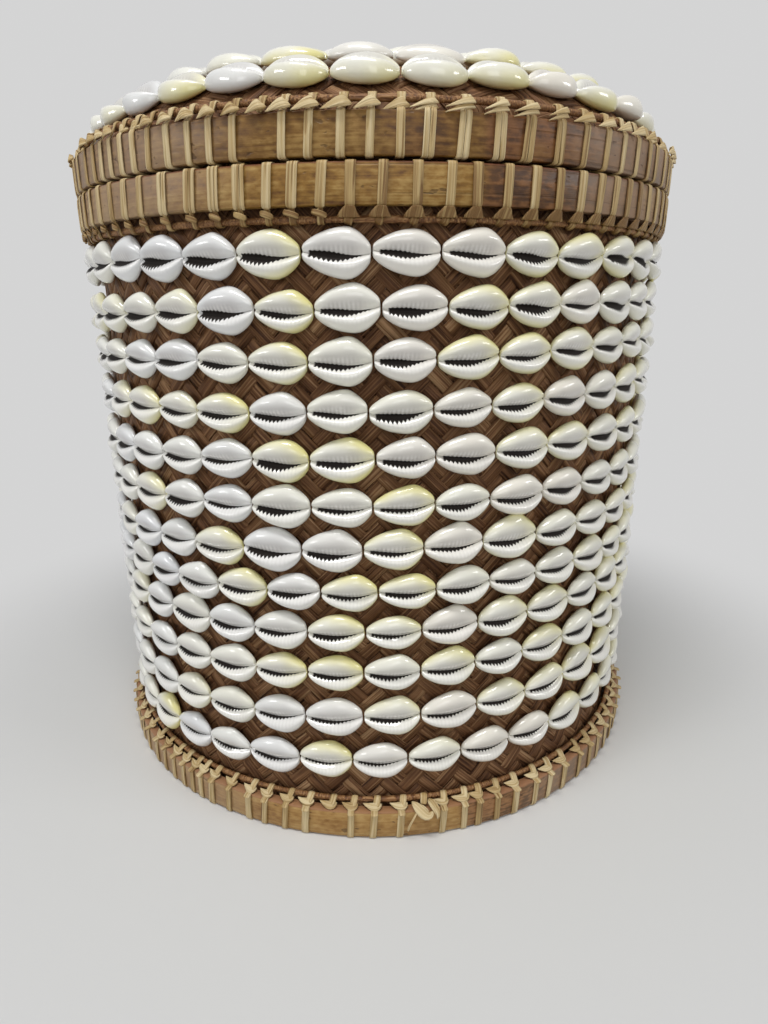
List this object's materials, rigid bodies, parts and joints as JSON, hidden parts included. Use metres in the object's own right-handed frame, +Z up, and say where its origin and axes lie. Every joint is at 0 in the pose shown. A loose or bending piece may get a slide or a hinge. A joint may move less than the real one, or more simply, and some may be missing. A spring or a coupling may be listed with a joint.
{
  "type": "lidded basket",
  "caption": "Round plaited basket with a lift-off lid, flat bamboo hoops lashed on with split cane, and rows of cowrie shells over its side and lid.",
  "frame": {"origin": "on the surface that the basket stands on, on the basket's axis", "axes": "+Z up along the basket's axis, towards the lid; -Y is the side seen in the picture"},
  "size_m": [0.2716, 0.2716, 0.2928],
  "materials": {
    "plait": "twill-plaited split bamboo, reddish brown, matt",
    "hoop": "flat bamboo, olive brown, satin",
    "foot_hoop": "flat bamboo, light tan, satin",
    "cane": "thin round cane, brown, satin",
    "lashing": "split cane, pale straw, satin",
    "cowrie": "cowrie shell, white to pale yellow, glossy"
  },
  "bodies": {
    "basket": {"side_weave": "plait", "base_weave": "plait", "foot_inner_hoop": "foot_hoop", "foot_hoop": "foot_hoop", "foot_cane": "cane", "foot_lashing": "lashing", "rim_hoop": "hoop", "rim_cane": "cane", "rim_lashing": "lashing", "rim_collar": "hoop", "cowrie_row_01": "cowrie", "cowrie_row_02": "cowrie", "cowrie_row_03": "cowrie", "cowrie_row_04": "cowrie", "cowrie_row_05": "cowrie", "cowrie_row_06": "cowrie", "cowrie_row_07": "cowrie", "cowrie_row_08": "cowrie", "cowrie_row_09": "cowrie", "cowrie_row_10": "cowrie", "cowrie_row_11": "cowrie", "cowrie_row_12": "cowrie"},
    "lid": {"lid_weave": "plait", "lid_hoop": "hoop", "lid_cane": "cane", "lid_lashing": "lashing", "lid_cowrie_ring_1": "cowrie", "lid_cowrie_ring_2": "cowrie", "lid_cowrie_ring_3": "cowrie", "lid_cowrie_ring_4": "cowrie", "lid_cowrie_ring_5": "cowrie", "lid_cowrie_ring_6": "cowrie", "lid_cowrie_ring_7": "cowrie"}
  },
  "joints": [
    {"name": "lid_lift", "type": "slide", "parent": "basket", "child": "lid", "axis": [0, 0, 1], "range_m": [0, 0.12]}
  ]
}
